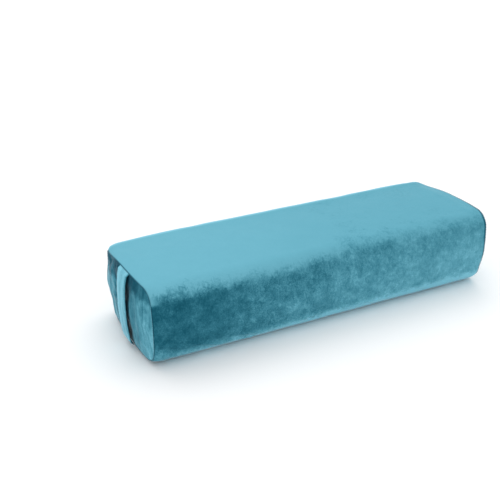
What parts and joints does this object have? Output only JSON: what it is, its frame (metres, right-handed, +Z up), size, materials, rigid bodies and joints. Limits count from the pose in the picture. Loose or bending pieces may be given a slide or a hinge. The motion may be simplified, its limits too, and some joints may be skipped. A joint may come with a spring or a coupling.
{
  "type": "bolster pillow",
  "caption": "Rectangular velvet bolster cushion with end panels, carrying straps and a zipped removable cover over a foam core.",
  "frame": {"origin": "middle of the flat base, on the surface the cushion lies on", "axes": "+X along the length towards the right end, -Y towards the front face, +Y towards the zipped back, +Z up"},
  "size_m": [0.6954, 0.2304, 0.145],
  "materials": {
    "velvet": "matte",
    "velvet_end": "matte",
    "velvet_strap": "matte",
    "thread": "matte",
    "zipper_tape": "matte",
    "zipper_coil": "satin",
    "zipper_metal": "satin",
    "label": "matte",
    "cotton": "matte",
    "wadding": "matte",
    "foam": "matte"
  },
  "bodies": {
    "bolster": {"cover_body_panel": "velvet", "cover_left_end": "velvet_end", "cover_right_end": "velvet_end", "left_end_seam_thread": "thread", "right_end_seam_thread": "thread", "zipper_tape_upper": "zipper_tape", "zipper_tape_lower": "zipper_tape", "zipper_stitching_upper": "thread", "zipper_stitching_lower": "thread", "zipper_coil_upper": "zipper_coil", "zipper_coil_lower": "zipper_coil", "zipper_top_stop_upper": "zipper_metal", "zipper_top_stop_lower": "zipper_metal", "zipper_bottom_stop": "zipper_metal", "care_label": "label", "inner_casing_body": "cotton", "inner_casing_left_end": "cotton", "inner_casing_right_end": "cotton", "batting_left_pad": "wadding", "batting_right_pad": "wadding", "batting_sleeve": "wadding", "foam_core": "foam"},
    "slider": {"zipper_slider": "zipper_metal"},
    "pull_tab": {"zipper_pull_tab": "zipper_metal"},
    "left_handle": {"left_handle_strap": "velvet_strap"},
    "right_handle": {"right_handle_strap": "velvet_strap"}
  },
  "joints": [
    {"name": "zipper_slide", "type": "slide", "parent": "bolster", "child": "slider", "axis": [1, 0, 0], "range_m": [0, 0.625]},
    {"name": "pull_tab_flip", "type": "hinge", "parent": "slider", "child": "pull_tab", "pos_m": [-0.3127, 0.11499, 0.04584], "axis": [0, 0.0802, 0.9968], "range_deg": [0, 170]},
    {"name": "left_handle_pull", "type": "slide", "parent": "bolster", "child": "left_handle", "axis": [-1, 0, 0], "range_m": [0, 0.025], "deforming": ["left_handle_strap"]},
    {"name": "right_handle_pull", "type": "slide", "parent": "bolster", "child": "right_handle", "axis": [1, 0, 0], "range_m": [0, 0.025], "deforming": ["right_handle_strap"]}
  ]
}
